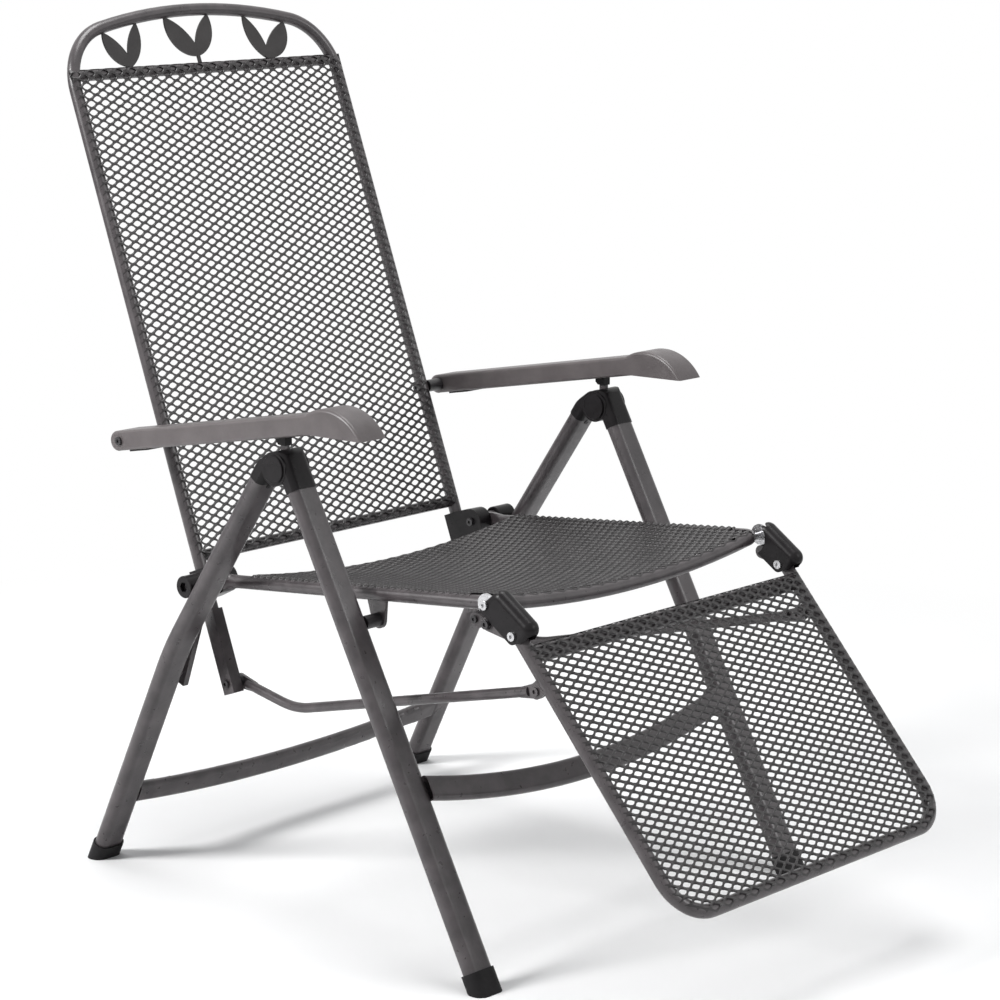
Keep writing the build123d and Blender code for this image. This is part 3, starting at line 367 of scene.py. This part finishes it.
seat_net = expanded_metal("seat_net", SEAT_ORIGIN, (-1, 0, 0), SEAT_AHEAD, SEAT_OUT,
                          (-SEAT_HALF, SEAT_REAR, SEAT_HALF, SEAT_FRONT), (21, 36), seat_edge, seat_height)
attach(seat_net, "seat")
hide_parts("seat_mesh")

REST_HALF = 0.236
REST_TOP, REST_END = 0.066, 0.409
REST_TOP_INSET = 0.002
REST_CORNER = 0.048
REST_ROUND = REST_CORNER + TUCK


def rest_edge(u, v):
    u = clamp(u, -REST_HALF - TUCK, REST_HALF + TUCK)
    v = clamp(v, REST_TOP + REST_TOP_INSET, REST_END + TUCK)
    du = abs(u) - (REST_HALF + TUCK - REST_ROUND)
    dv = v - (REST_END + TUCK - REST_ROUND)
    far = math.hypot(du, dv)
    if du > 0 and dv > 0 and far > REST_ROUND:
        u = math.copysign(REST_HALF + TUCK - REST_ROUND + du * REST_ROUND / far, u)
        v = REST_END + TUCK - REST_ROUND + dv * REST_ROUND / far
    return u, v


def rest_height(u, v):
    du = max(abs(u) - (REST_HALF + TUCK - REST_ROUND), 0.0)
    dv = max(v - (REST_END + TUCK - REST_ROUND), 0.0)
    beyond = math.hypot(du, dv) - REST_ROUND + TUCK
    return SHEET_LIFT - over_tube(beyond)


rest_net = expanded_metal("rest_net", REST_ORIGIN, (-1, 0, 0), REST_DOWN, REST_OUT,
                          (-REST_HALF, REST_TOP, REST_HALF, REST_END), (21, 31), rest_edge, rest_height)
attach(rest_net, "leg_rest")
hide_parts("rest_mesh")

dress_nodes()


# Stage, light and camera

def stage_material():
    """A pale floor that keeps the shadow near the object and runs out into plain white for the camera."""
    s = Shade("pale_floor")
    colour = s.ramp(s.noise(3.0, 2.0), (0.3, (0.88, 0.88, 0.88)), (0.7, (0.9, 0.9, 0.9)))
    s.finish(colour, s.spread(s.noise(40.0), 0.75, 0.9), s.bump(s.noise(300.0), 0.05, 0.0005), 0.0, 0.2)
    away = s.tree.nodes.new("ShaderNodeVectorMath")
    away.operation = "LENGTH"
    s.feed(away.inputs[0], s.place)
    far = s.spread(away.outputs["Value"], 0.0, 1.0, 0.75, 1.7)
    rays = s.tree.nodes.new("ShaderNodeLightPath")
    seen = s.tree.nodes.new("ShaderNodeMath")
    seen.operation = "MULTIPLY"
    s.feed(seen.inputs[0], rays.outputs["Is Camera Ray"])
    s.feed(seen.inputs[1], far)
    white = s.tree.nodes.new("ShaderNodeEmission")
    white.inputs["Color"].default_value = (1.0, 1.0, 1.0, 1.0)
    mix = s.tree.nodes.new("ShaderNodeMixShader")
    s.feed(mix.inputs[0], seen.outputs[0])
    s.feed(mix.inputs[1], s.shader.outputs[0])
    s.feed(mix.inputs[2], white.outputs[0])
    s.feed(s.tree.nodes["Material Output"].inputs["Surface"], mix.outputs[0])
    return s.material


FLOOR_HALF = 30.0


def floor():
    mesh = bpy.data.meshes.new("studio_floor")
    signs = ((-1, -1), (1, -1), (1, 1), (-1, 1))
    corners = [(a * FLOOR_HALF, b * FLOOR_HALF, 0) for a, b in signs]
    mesh.from_pydata(corners, [], [(0, 1, 2, 3)])
    mesh.materials.append(stage_material())
    piece = bpy.data.objects.new("studio_floor", mesh)
    bpy.context.scene.collection.objects.link(piece)


def lamp(name, place, target, size, power):
    light = bpy.data.lights.new(name, "AREA")
    light.shape = "DISK"
    light.size = size
    light.energy = power
    lamp_object = bpy.data.objects.new(name, light)
    lamp_object.location = place
    lamp_object.rotation_euler = (Vector(target) - Vector(place)).to_track_quat("-Z", "Y").to_euler()
    bpy.context.scene.collection.objects.link(lamp_object)


def world():
    """Plain soft light, and a white ground for the camera, reflections and clear parts."""
    sky = bpy.data.worlds.new("studio")
    bpy.context.scene.world = sky
    sky.use_nodes = True
    tree = sky.node_tree
    tree.nodes.clear()
    rays = tree.nodes.new("ShaderNodeLightPath")
    soft = tree.nodes.new("ShaderNodeBackground")
    soft.inputs["Color"].default_value = (0.95, 0.97, 1.0, 1.0)
    soft.inputs["Strength"].default_value = 0.3
    white = tree.nodes.new("ShaderNodeBackground")
    white.inputs["Color"].default_value = (1.0, 1.0, 1.0, 1.0)
    white.inputs["Strength"].default_value = 1.0
    seen = tree.nodes.new("ShaderNodeMath")
    seen.operation = "MAXIMUM"
    most = tree.nodes.new("ShaderNodeMath")
    most.operation = "MAXIMUM"
    mix = tree.nodes.new("ShaderNodeMixShader")
    output = tree.nodes.new("ShaderNodeOutputWorld")
    link = tree.links.new
    link(rays.outputs["Is Camera Ray"], seen.inputs[0])
    link(rays.outputs["Is Glossy Ray"], seen.inputs[1])
    link(seen.outputs[0], most.inputs[0])
    link(rays.outputs["Is Transmission Ray"], most.inputs[1])
    link(most.outputs[0], mix.inputs[0])
    link(soft.outputs[0], mix.inputs[1])
    link(white.outputs[0], mix.inputs[2])
    link(mix.outputs[0], output.inputs["Surface"])


def camera():
    """The photograph's camera, as worked out from the chair's parallel edges."""
    data = bpy.data.cameras.new("photo_camera")
    data.sensor_width = 36.0
    data.lens = 107.83
    data.shift_x = 0.0093
    data.shift_y = -0.0739
    data.clip_end = 100.0
    eye = bpy.data.objects.new("photo_camera", data)
    eye.location = (-2.56725, -2.43573, 1.248686)
    eye.rotation_euler = [math.radians(a) for a in (79.09389, -0.218815, -46.603976)]
    bpy.context.scene.collection.objects.link(eye)
    bpy.context.scene.camera = eye


floor()
world()
lamp("key_light", (-3.0, 1.4, 2.4), (0.0, 0.0, 0.5), 1.2, 150.0)
lamp("fill_light", (1.6, -3.4, 2.2), (0.0, 0.0, 0.5), 1.8, 35.0)
lamp("top_light", (0.4, 0.2, 3.8), (0.0, 0.0, 0.4), 2.0, 85.0)
camera()
bpy.context.scene.view_settings.view_transform = "Standard"
